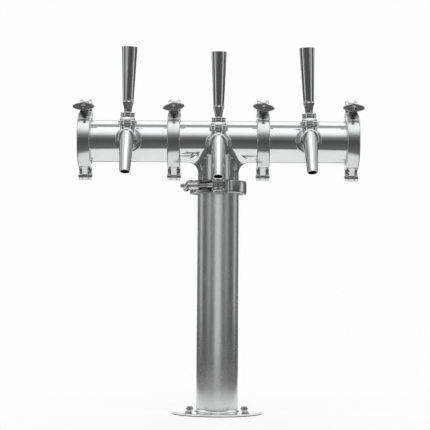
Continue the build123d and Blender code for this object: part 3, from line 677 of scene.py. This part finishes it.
def new_material(name):
    """Starts a material and files it under its name; returns its graph and its shader."""
    material = bpy.data.materials.new(name)
    material.use_nodes = True
    materials[name] = material
    graph = Graph(material.node_tree)
    output = graph.node("ShaderNodeOutputMaterial")
    shader = graph.node("ShaderNodeBsdfPrincipled")
    graph.link(shader.outputs[0], output.inputs["Surface"])
    return graph, shader


def steel(name, tone, rough, spread, grain=(1, 1, 1), grain_depth=0.0, waviness=0.0,
          brushed_round=None, dark_above=None):
    """Stainless steel with polish lines, slow waves, uneven tone and faint handling marks.

    brushed_round is the axis of its polish, and dark_above the height in metres where a darker tone starts;
    that darker tone is painted shade.
    """
    g, shader = new_material(name)
    lines = g.noise(g.stretched(grain), scale=900.0, detail=4.0, roughness=0.6)
    cloud = g.noise(g.stretched(), scale=28.0)
    marks = g.noise(g.stretched(), scale=160.0, detail=5.0, roughness=0.7, distortion=0.6)
    patches = g.ramp(marks, [(0.52, 0.0), (0.75, 1.0)])
    roughness = g.math("MULTIPLY_ADD", lines, spread, rough - spread / 2)
    roughness = g.math("MULTIPLY_ADD", g.math("SUBTRACT", cloud, 0.5), spread, roughness)
    roughness = g.math("MULTIPLY_ADD", patches, spread * 0.5, roughness, clamp=True)
    g.feed(shader.inputs["Roughness"], roughness)
    dark, light = tuple(t * 0.93 for t in tone), tuple(min(t * 1.03, 1.0) for t in tone)
    colour = g.mix(g.ramp(cloud, [(0.3, 0.0), (0.7, 1.0)]), dark, light)
    # Painted shade: above dark_above the colour darkens to 0.12 of the tone, standing in for shadow and
    # dark reflections.
    if dark_above:
        height = g.separate(g.node("ShaderNodeTexCoord").outputs["Object"])[2]
        decimetres = g.math("MULTIPLY", height, 10.0)
        start = dark_above * 10
        painted_shade = g.ramp(decimetres, [(start, 0.0), (start + 0.06, 0.6), (start + 0.14, 0.92)])
        colour = g.mix(painted_shade, colour, tuple(t * 0.12 for t in tone))
    g.feed(shader.inputs["Base Color"], colour)
    shader.inputs["Metallic"].default_value = 1.0
    normal = None
    if waviness:
        normal = g.bump(cloud, strength=waviness, distance=0.0006)
    if grain_depth:
        normal = g.bump(lines, strength=grain_depth, distance=0.0001, normal=normal)
    g.feed(shader.inputs["Normal"], normal)
    if brushed_round:
        shader.inputs["Anisotropic"].default_value = 0.75
        tangent = g.node("ShaderNodeTangent", direction_type="RADIAL", axis=brushed_round)
        g.link(tangent.outputs[0], shader.inputs["Tangent"])


def plastic(name, tone, rough, speckle=0.04, pores=0.0, coat=0.0, see_through=0.0):
    """Rubber, hose or foam with mottled colour and a fine surface."""
    g, shader = new_material(name)
    cloud = g.noise(g.stretched(), scale=60.0, detail=4.0)
    fine = g.noise(g.stretched(), scale=700.0, roughness=0.6)
    dark = tuple(t * (1 - speckle * 3) for t in tone)
    light = tuple(min(1.0, t * (1 + speckle * 3)) for t in tone)
    g.feed(shader.inputs["Base Color"], g.mix(cloud, dark, light))
    g.feed(shader.inputs["Roughness"], g.math("MULTIPLY_ADD", fine, 0.15, rough - 0.07, clamp=True))
    g.feed(shader.inputs["Normal"], g.bump(fine, strength=0.2 + pores, distance=0.0002 + pores * 0.001))
    shader.inputs["Coat Weight"].default_value = coat
    shader.inputs["Transmission Weight"].default_value = see_through


MIRROR = (0.80, 0.805, 0.81)
CAST = (0.72, 0.725, 0.73)
steel("polished_tube", MIRROR, rough=0.07, grain=(0.04, 1, 1), grain_depth=0.02, waviness=0.05,
      spread=0.03)
steel("brushed_tube", (0.74, 0.745, 0.75), rough=0.25, grain=(1, 1, 0.02), grain_depth=0.09, spread=0.07,
      brushed_round="Z")
steel("polished_plate", MIRROR, rough=0.13, grain=(1, 0.04, 1), grain_depth=0.03, waviness=0.03,
      spread=0.06)
steel("clamp_casting", CAST, rough=0.16, grain_depth=0.03, waviness=0.25, spread=0.08)
# Painted shade on the clamp's front ear: above 38 mm the colour darkens, standing in for the nut's shadow
# and the dark horizon reflected there.
steel("clamp_ear_casting_painted_shade", CAST, rough=0.18, grain_depth=0.03, waviness=0.25, spread=0.08,
      dark_above=0.038)
steel("wing_nut_casting", (0.70, 0.702, 0.705), rough=0.34, grain_depth=0.12, waviness=0.25,
      spread=0.14)
steel("bolt_steel", (0.52, 0.52, 0.52), rough=0.30, grain_depth=0.05, spread=0.1)
steel("faucet_steel", (0.82, 0.825, 0.83), rough=0.055, grain_depth=0.015, waviness=0.12, spread=0.05)
steel("handle_chrome", (0.78, 0.785, 0.795), rough=0.05, grain=(1, 1, 0.03), grain_depth=0.01,
      waviness=0.04, spread=0.03)
steel("inner_steel", (0.6, 0.6, 0.61), rough=0.28, grain=(1, 0.05, 1), grain_depth=0.05, spread=0.1)
plastic("seal_rubber", (0.035, 0.035, 0.037), rough=0.6)
plastic("white_silicone", (0.78, 0.78, 0.76), rough=0.45)
plastic("clear_hose", (0.74, 0.77, 0.78), rough=0.25, see_through=0.35, coat=0.3)
plastic("blue_hose", (0.06, 0.12, 0.32), rough=0.35, coat=0.3)
plastic("foam", (0.74, 0.69, 0.5), rough=0.85, speckle=0.06, pores=0.5)

slot_of = {row["node"]: row["material_slot"] for row in frame["record"]["subparts"]}
body_with = {node: body for body, nodes in frame["record"]["behaviour"]["bodies"].items() for node in nodes}


def dress(mesh, slot):
    """Gives a mesh one material."""
    mesh.materials.clear()
    mesh.materials.append(materials[slot])


def show(mesh, node, place):
    """Puts a mesh where place says, in millimetres, to stand for a CAD node on the same body."""
    piece = bpy.data.objects.new(f"{node}_fine", mesh)
    bpy.context.scene.collection.objects.link(piece)
    piece.matrix_world = metres(place)
    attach(piece, body_with[node])
    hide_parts(node)


def stand_in(node, geometry, place=Matrix.Identity(4)):
    """One finished mesh in place of one CAD node."""
    mesh = make_mesh(f"{node}_fine", *geometry)
    dress(mesh, slot_of[node])
    show(mesh, node, place)


# ------------------------------------------------------------------ tubes, caps, gaskets and base
def ferrule_outline(face, inward):
    """Outside of a ferrule from its face inward (1 or -1), in the order of a closed outline."""
    rim = face + inward * FERRULE_RIM
    foot = rim + inward * (FERRULE_R - FERRULE_FOOT_R) * SLOPE
    points = [(face, BORE_R), (face, FERRULE_R), (rim, FERRULE_R), (foot, FERRULE_FOOT_R),
              (foot + inward * FERRULE_TAIL, TUBE_R)]
    return points if inward > 0 else points[::-1]


def ferrule_geometry(face, inward, axis="X"):
    """A ferrule of its own with a stub of tube."""
    outline = ferrule_outline(face, inward)
    inner_end = [(face + inward * (FERRULE_DEPTH + FERRULE_TAIL), BORE_R)]
    outline = outline + inner_end if inward > 0 else inner_end + outline
    return lathe_geometry(outline, segments=200, axis=axis)


def tube_outline(low, high, ferrule_low=True):
    """A tube with a ferrule at its high end and, unless told otherwise, at its low end."""
    start = ferrule_outline(low, 1) if ferrule_low else [(low, BORE_R), (low, TUBE_R)]
    return start + ferrule_outline(high, -1)


def weld_ripple(angle):
    """Height of the weld bead's ripples round the column."""
    return 0.14 * np.sin(angle * 96 + 2.2 * np.sin(angle * 5)) + 0.1 * np.sin(angle * 7)


def build_tubes():
    for side in ("left", "right"):
        geometry = lathe_geometry(tube_outline(-HALF, HALF), segments=240)
        stand_in(f"{side}_arm_tube", geometry, shift(FAUCET_X[side], 0, ARM_Z))
    top = COLUMN_JOINT_Z - GASKET / 2
    column = lathe_geometry(tube_outline(PLATE_TOP, top, ferrule_low=False), segments=240, axis="Z")
    stand_in("column_tube", column)


def build_tee():
    low = COLUMN_JOINT_Z + GASKET / 2 - ARM_Z
    core = field_geometry(tee_field, (-HALF, -40, low), (HALF, 40, 40), 1.25)
    ferrules = (ferrule_geometry(-HALF, 1), ferrule_geometry(HALF, -1), ferrule_geometry(low, 1, axis="Z"))
    stand_in("center_tee", joined(core, *ferrules), shift(0, 0, ARM_Z))


def build_caps():
    foot = FERRULE_RIM + (FERRULE_R - FERRULE_FOOT_R) * SLOPE
    back = foot + 5.0
    outline = [(0, 0), (0, FERRULE_R), (FERRULE_RIM, FERRULE_R), (foot, FERRULE_FOOT_R),
               (back, FERRULE_FOOT_R - 1.0), (back, 0)]
    cap = lathe_geometry(outline, 1.2, closed=False, segments=200)
    reach = 1.5 * PITCH + GASKET / 2
    stand_in("right_end_cap", cap, shift(reach, 0, ARM_Z))
    stand_in("left_end_cap", cap, shift(-reach, 0, ARM_Z) @ Matrix.Rotation(pi, 4, "Y"))


def build_base():
    low, top = PLATE_LOW, PLATE_TOP
    outline = [(low, BASE_HOLE_R), (low, PLATE_R), (top, PLATE_R), (top, BASE_HOLE_R)]
    plate = lathe_geometry(outline, 0.7, segments=240, axis="Z")
    inner, sunk, bead_top = TUBE_R - 0.4, top - 0.2, top + 3.6
    outline = [(sunk, inner), (sunk, TUBE_R + 3.6), (top + 1.1, TUBE_R + 2.9), (top + 2.6, TUBE_R + 1.3),
               (bead_top, TUBE_R + 0.05), (bead_top, inner)]
    bead = lathe_geometry(outline, 1.0, segments=480, axis="Z", ripple=weld_ripple)
    stand_in("base_plate", joined(plate, bead))


# ------------------------------------------------------------------ clamps
def clamp_places():
    """Each clamp's place in millimetres, from its own frame to the tower's."""
    places = {}
    for name, step in (("left_end", -1.5), ("left_inner", -0.5), ("right_inner", 0.5), ("right_end", 1.5)):
        places[name] = shift(step * PITCH, 0, ARM_Z)
    ears = Vector((-sin(COLUMN_CLAMP_TURN), -cos(COLUMN_CLAMP_TURN), 0))
    along = Vector((0, 0, -1))
    across = ears.cross(along)
    turn = Matrix((along, across, ears)).transposed().to_4x4()
    places["column"] = shift(0, 0, COLUMN_JOINT_Z) @ turn
    return places


def bolt_frame():
    """From the swing bolt's own frame, Z towards the nut and X along the tube, to the clamp's."""
    c, s = cos(BOLT_TILT), sin(BOLT_TILT)
    z = Vector((0, -c, -s))
    x = Vector((1, 0, 0))
    y = z.cross(x)
    turn = Matrix((x, y, z)).transposed().to_4x4()
    return shift(0, *BOLT_PIN) @ turn


def pin_geometry(y, z, half):
    """Pin with slightly domed, peened ends."""
    tip, tip_r = half + 1.4, PIN_R - 0.6
    outline = [(-tip, 0), (-tip, tip_r), (-half, PIN_R), (half, PIN_R), (tip, tip_r), (tip, 0)]
    return moved(lathe_geometry(outline, 0.7, closed=False, segments=40), shift(0, y, z))


def build_clamps():
    places = clamp_places()
    top = BOLT_PIN[1] + LUG_R + 2
    low = HINGE_Z - KNUCKLE_R - 2
    front = field_geometry(front_half_field, (-13, -56, low), (13, 9, top), 0.8)
    rear = field_geometry(rear_half_field, (-13, -9, low), (13, 56, top), 0.8)
    nut = field_geometry(wing_nut_field, (-21, -9, NUT_START - 1), (21, 9, NUT_END + 1), 0.55)
    eye = field_geometry(eye_field, (-6, -6, 54), (6, 24, 78), 0.6)
    thread = thread_geometry(BOLT_R, THREAD_START, BOLT_LENGTH - THREAD_START, THREAD_PITCH)
    bolt = joined(eye, moved(thread, bolt_frame()))
    finished = (
        # The front half wears the casting with painted shade on its ear.
        ("clamp_front_half", front, "clamp_ear_casting_painted_shade"),
        ("clamp_rear_half", rear, "clamp_casting"),
        ("wing_nut", nut, "wing_nut_casting"),
        ("swing_bolt", bolt, "bolt_steel"),
    )
    meshes = {}
    for key, geometry, slot in finished:
        meshes[key] = make_mesh(f"{key}_fine", *geometry)
        dress(meshes[key], slot)
    for name, place in places.items():
        for key, mesh in meshes.items():
            local = place
            if key == "wing_nut":
                local = place @ bolt_frame() @ Matrix.Rotation(radians(NUT_TURNS[name]), 4, "Z")
            show(mesh, f"{name}_{key}", local)
    pins = [pin_geometry(0, HINGE_Z, BAND_HALF), pin_geometry(*BOLT_PIN, BAND_HALF)]
    stand_in("clamp_pins", joined(*[moved(pin, place) for place in places.values() for pin in pins]))
    half, rim_r = GASKET / 2, FERRULE_R - 0.7
    seal = lathe_geometry([(-half, BORE_R), (-half, rim_r), (half, rim_r), (half, BORE_R)], 0.3)
    stand_in("joint_gaskets", joined(*[moved(seal, place) for place in places.values()]))


# ------------------------------------------------------------------ faucets
def shank_place(side):
    return shift(FAUCET_X[side], 0, ARM_Z - FAUCET_DROP[side])


def faucet_place(side):
    """A faucet's place, turned a little about its shank."""
    return shank_place(side) @ Matrix.Rotation(radians(FAUCET_ROLL[side]), 4, "Y")


def lever_frame():
    """From the lever's own frame, Z up the handle from its ball, to the faucet's."""
    return shift(0, -LEVER_F, PIVOT_Z) @ Matrix.Rotation(LEAN, 4, "X")


def on_sphere(radius, low, high, count):
    """Points (height, radius) on a sphere round the pivot, between two angles from its top."""
    return [(radius * cos(radians(a)), radius * sin(radians(a))) for a in np.linspace(low, high, count)]


def bonnet_geometry():
    """Ring nut with a grooved skirt, a dome that the collar rocks over, and an opening for the lever."""
    skirt_r, groove_r, thread_r, opening_r = 16.8, 16.1, 12.5, 9.4
    outline = [
        (-7.4, thread_r), (-7.4, 16.2), (-6.8, skirt_r), (-3.2, skirt_r), (-2.7, groove_r),
        (-1.9, groove_r), (-1.4, skirt_r), (0.4, skirt_r), (1.26, 16.0),
        *on_sphere(DOME_R, 85.0, 47.5, 14), (3.7, 8.4), (2.4, opening_r), (1.3, opening_r), (1.3, thread_r),
    ]
    return lathe_geometry(outline, 0.35, segments=128, axis="Z")


def collar_geometry():
    """Ring under the handle, hollowed by the sphere that rocks over the bonnet's dome, with a groove."""
    r, bore_r, chamfer = 12.8, 4.95, 0.9
    groove_low, groove_high, groove_r = 12.0, 13.0, r - 0.7
    hollow = on_sphere(COLLAR_HOLLOW_R, 19.0, 55.0, 12)
    outline = [
        *hollow, (hollow[-1][0] + 0.4, r), (groove_low, r), (groove_low, groove_r), (groove_high, groove_r),
        (groove_high, r), (COLLAR_END - chamfer, r), (COLLAR_END, r - chamfer), (COLLAR_END, bore_r),
    ]
    return lathe_geometry(outline, 0.3, segments=128, axis="Z")


def build_faucets():
    body = field_geometry(body_field, (-17, -122, -70), (17, -47, PIVOT_Z + 3), 0.85)
    body = make_mesh("faucet_body_fine", *body)
    bonnet = make_mesh("bonnet_fine", *bonnet_geometry())
    collar = make_mesh("lever_collar_fine", *collar_geometry())
    handle = field_geometry(handle_field, (-16, -16, -1), (16, 16, HANDLE_LENGTH + 1), 0.6)
    handle = make_mesh("handle_fine", *handle)
    for mesh in (body, bonnet, collar):
        dress(mesh, "faucet_steel")
    dress(handle, "handle_chrome")
    pivot = shift(0, -LEVER_F, PIVOT_Z)
    for side, twist in HANDLE_TWIST.items():
        place = faucet_place(side)
        lever = place @ lever_frame()
        grip = lever @ shift(0, 0, COLLAR_END) @ Matrix.Rotation(radians(twist), 4, "Z")
        pieces = (
            ("faucet_body", body, place),
            ("bonnet", bonnet, place @ pivot),
            ("lever_collar", collar, lever),
            ("handle", handle, grip),
        )
        for key, mesh, local in pieces:
            show(mesh, f"{side}_{key}", local)
    coupling = field_geometry(coupling_field, (-19, -62, -19), (19, -44, 19), 0.6)
    places = [faucet_place(side) for side in FAUCET_X]
    stand_in("coupling_nuts", joined(*[moved(coupling, place) for place in places]))
    flanges = []
    for side, drop in FAUCET_DROP.items():
        flange = field_geometry(flange_field(drop), (-26, -47, -26), (26, -24, 26), 0.7)
        flanges.append(moved(flange, shank_place(side)))
    stand_in("shank_flanges", joined(*flanges))


# ------------------------------------------------------------------ studio and camera
# Brightness at places from 0 to 1: here from straight down to straight up.
CEILING = [
    (0.0, 0.85), (0.22, 0.75), (0.27, 0.15), (0.39, 0.13), (0.495, 0.11), (0.542, 0.17), (0.573, 0.24),
    (0.605, 0.31), (0.637, 0.50), (0.669, 0.88), (0.702, 1.15), (0.736, 1.35), (0.77, 1.5), (0.86, 1.6),
    (1.0, 1.6),
]
# Here once round, from behind past the left to the front and on past the right.
SIDE_STRIPS = [
    (0.0, 1.2), (0.06, 1.1), (0.09, 0.02), (0.17, 0.02), (0.19, 0.9), (0.22, 0.9), (0.24, 0.0),
    (0.32, 0.0), (0.35, 0.6), (0.375, 0.6), (0.40, 0.0), (0.60, 0.0), (0.625, 0.55), (0.645, 0.55),
    (0.67, 0.0), (0.76, 0.0), (0.79, 0.8), (0.82, 0.8), (0.84, 0.02), (0.92, 0.02), (0.95, 1.2), (1.0, 1.2),
]
PAPER_WHITE = (0.985, 0.985, 0.985, 1.0)
FLOOR_GLOW = 0.617
LAMP_SPREAD = 4.0  # a lamp's watts for each unit of radiance and square metre


def studio_world():
    """White to the camera; to the metal, a dark horizon with side strips under a bright ceiling."""
    world = bpy.data.worlds.new("studio")
    bpy.context.scene.world = world
    world.use_nodes = True
    g = Graph(world.node_tree)
    output = g.node("ShaderNodeOutputWorld")
    direction = g.node("ShaderNodeTexCoord").outputs["Generated"]
    x, y, z = g.separate(direction)
    elevation = g.math("DIVIDE", g.math("ARCSINE", z), pi / 2)
    height = g.math("MULTIPLY_ADD", elevation, 0.5, 0.5)
    azimuth = g.math("DIVIDE", g.math("ARCTAN2", x, g.math("MULTIPLY", y, -1.0)), pi)
    around = g.math("MULTIPLY_ADD", azimuth, 0.5, 0.5)
    band = g.ramp(height, CEILING)
    strips = g.ramp(around, SIDE_STRIPS)
    level = g.math("ABSOLUTE", elevation)
    near_horizon = g.ramp(level, [(0.0, 1.0), (0.12, 1.0), (0.22, 0.25), (0.36, 0.0)])
    overhead = g.ramp(z, [(0.6, 0.0), (0.8, 1.0)])
    backward = g.math("MULTIPLY_ADD", y, 0.5, 0.5)
    gap = g.ramp(backward, [(0.35, 0.0), (0.43, 0.7), (0.55, 0.7), (0.61, 0.2), (0.67, 0.0)])
    gap = g.math("MULTIPLY", gap, overhead)
    ceiling = g.math("MULTIPLY", band, g.math("SUBTRACT", 1.0, gap))
    light = g.math("MULTIPLY_ADD", strips, near_horizon, ceiling)
    camera_ray = g.node("ShaderNodeLightPath").outputs["Is Camera Ray"]
    seen = g.node("ShaderNodeBackground")
    seen.inputs["Color"].default_value = PAPER_WHITE
    studio = g.node("ShaderNodeBackground")
    g.link(light, studio.inputs["Strength"])
    mixer = g.node("ShaderNodeMixShader")
    g.link(camera_ray, mixer.inputs[0])
    g.link(studio.outputs[0], mixer.inputs[1])
    g.link(seen.outputs[0], mixer.inputs[2])
    g.link(mixer.outputs[0], output.inputs["Surface"])


def soft_box(name, elevation, distance, size, radiance, pieces):
    """Rectangular soft light in front of the tower that lights only the named pieces."""
    data = bpy.data.lights.new(name, "AREA")
    data.shape = "RECTANGLE"
    data.size, data.size_y = size
    data.energy = LAMP_SPREAD * radiance * size[0] * size[1]
    lamp = bpy.data.objects.new(name, data)
    bpy.context.scene.collection.objects.link(lamp)
    lamp.location = (0.0, -distance * cos(elevation), 0.45 + distance * sin(elevation))
    lamp.rotation_euler = (pi / 2 - elevation, 0, 0)
    lamp.visible_camera = False
    lit = bpy.data.collections.new(name)
    for piece in pieces:
        lit.objects.link(bpy.data.objects[piece])
    lamp.light_linking.receiver_collection = lit


def studio_lights():
    """One light for the fronts of the faucets and one for the column."""
    bodies = [f"{side}_faucet_body_fine" for side in FAUCET_X]
    soft_box("spout_light", radians(38.0), 1.5, (1.0, 0.40), 0.5, bodies)
    soft_box("column_light", 0.0, 1.6, (1.0, 1.6), 0.55, ["column_tube_fine"])


def studio_floor():
    """White to the camera; in reflections a pale table, bright round the tower and dark further out."""
    reach = 6.0
    corners = [(-reach, -reach, 0), (reach, -reach, 0), (reach, reach, 0), (-reach, reach, 0)]
    mesh = bpy.data.meshes.new("floor")
    mesh.from_pydata(corners, [], [(0, 1, 2, 3)])
    floor = bpy.data.objects.new("floor", mesh)
    bpy.context.scene.collection.objects.link(floor)
    floor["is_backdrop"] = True
    material = bpy.data.materials.new("pale_floor")
    material.use_nodes = True
    g = Graph(material.node_tree)
    output = g.node("ShaderNodeOutputMaterial")
    place = g.node("ShaderNodeNewGeometry").outputs["Position"]
    x, y = g.separate(place)[:2]
    depth = g.math("MAXIMUM", g.math("MULTIPLY", y, 0.35), g.math("MULTIPLY", y, -1.0))
    distance = g.math("SQRT", g.math("ADD", g.math("MULTIPLY", x, x), g.math("MULTIPLY", depth, depth)))
    out = g.math("DIVIDE", distance, 2.0)
    brightness = g.ramp(out, [(0.0, 0.95), (0.22, 0.92), (0.28, 0.15), (1.0, 0.10)])
    camera_ray = g.node("ShaderNodeLightPath").outputs["Is Camera Ray"]
    pale = g.node("ShaderNodeBsdfDiffuse")
    grain = g.noise(g.stretched(), scale=40.0)
    g.feed(pale.inputs["Color"], g.mix(grain, (0.46, 0.46, 0.46), (0.48, 0.48, 0.48)))
    glow = g.node("ShaderNodeEmission")
    glow.inputs["Color"].default_value = PAPER_WHITE
    glow.inputs["Strength"].default_value = FLOOR_GLOW
    seen = g.node("ShaderNodeAddShader")
    g.link(pale.outputs[0], seen.inputs[0])
    g.link(glow.outputs[0], seen.inputs[1])
    mirrored = g.node("ShaderNodeEmission")
    g.link(brightness, mirrored.inputs["Strength"])
    mixer = g.node("ShaderNodeMixShader")
    g.link(camera_ray, mixer.inputs[0])
    g.link(mirrored.outputs[0], mixer.inputs[1])
    g.link(seen.outputs[0], mixer.inputs[2])
    g.link(mixer.outputs[0], output.inputs["Surface"])
    mesh.materials.append(material)


def photo_camera():
    """Level camera in front of the tower, framed with lens shift and rolled by the photo's slight turn."""
    data = bpy.data.cameras.new("camera")
    data.lens = 113.75
    data.sensor_width = 36.0
    data.shift_x = -0.0060
    data.shift_y = 0.186
    data.clip_end = 50.0
    camera = bpy.data.objects.new("camera", data)
    camera.location = (0.0, -2.5, 0.218)
    camera.rotation_euler = (radians(90), radians(-0.35), 0)
    bpy.context.scene.collection.objects.link(camera)
    bpy.context.scene.camera = camera


# ------------------------------------------------------------------ assembly
for node, obj in frame["nodes"].items():
    dress(obj.data, slot_of[node])

build_tubes()
build_tee()
build_caps()
build_base()
build_clamps()
build_faucets()
studio_world()
studio_floor()
studio_lights()
photo_camera()
bpy.context.scene.view_settings.view_transform = "Standard"

boxes = {"cad": cad_box, "visual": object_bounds()}
{key: [[float(v) for v in c] for c in box] for key, box in boxes.items()}
